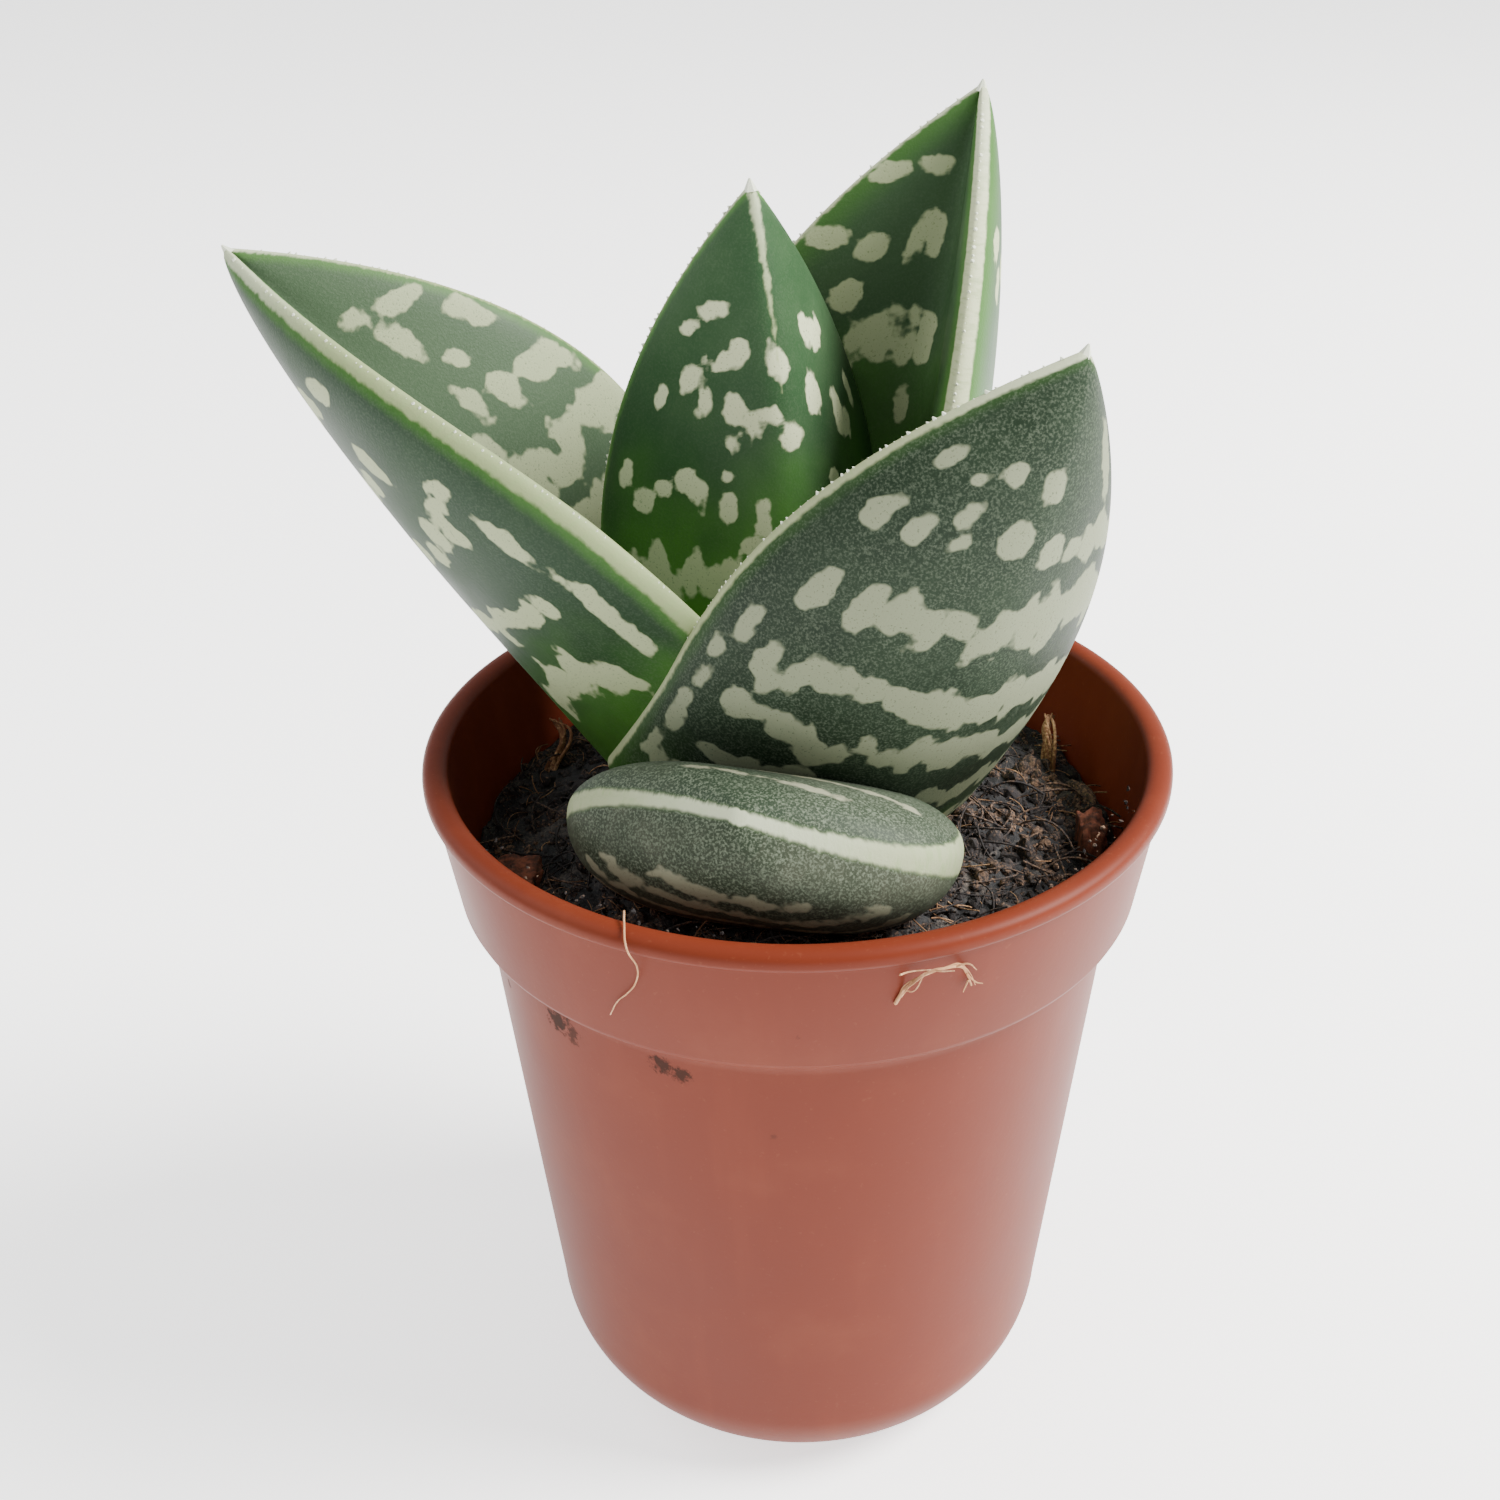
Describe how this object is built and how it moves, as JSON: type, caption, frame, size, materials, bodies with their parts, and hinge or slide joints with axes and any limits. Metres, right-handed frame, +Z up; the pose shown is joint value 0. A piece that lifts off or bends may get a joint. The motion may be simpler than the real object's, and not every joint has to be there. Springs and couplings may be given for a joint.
{
  "type": "potted aloe plant",
  "caption": "Small tiger aloe with thick, keeled, pale-spotted leaves in peat, in a round terracotta-coloured plastic nursery pot with a tall collar.",
  "frame": {"origin": "bottom centre of the pot, on the plane it stands on", "axes": "+Z up along the pot's axis; -Y towards the low front leaf, so +X is to the right seen from the front"},
  "size_m": [0.0662, 0.055, 0.1015],
  "materials": {
    "pot_plastic": "satin moulded terracotta-coloured plastic with dust smudges",
    "peat": "loose dark brown peat with fibres and crumbs",
    "stem_flesh": "smooth pale green plant flesh",
    "leaf_skin": "waxy dark green leaf skin with pale oblong spots and whitish horny margins",
    "bark": "rough reddish brown bark",
    "dry_root": "dry tan root fibre"
  },
  "bodies": {
    "root": {"pot": "pot_plastic", "soil": "peat", "stem": "stem_flesh", "leaf_front_low": "leaf_skin", "leaf_front_right": "leaf_skin", "leaf_left": "leaf_skin", "leaf_back_right": "leaf_skin", "leaf_centre": "leaf_skin", "bark_chip_right": "bark", "bark_chip_back": "bark", "bark_chip_left": "bark", "rootlet_right": "dry_root", "rootlet_left": "dry_root"}
  },
  "joints": []
}
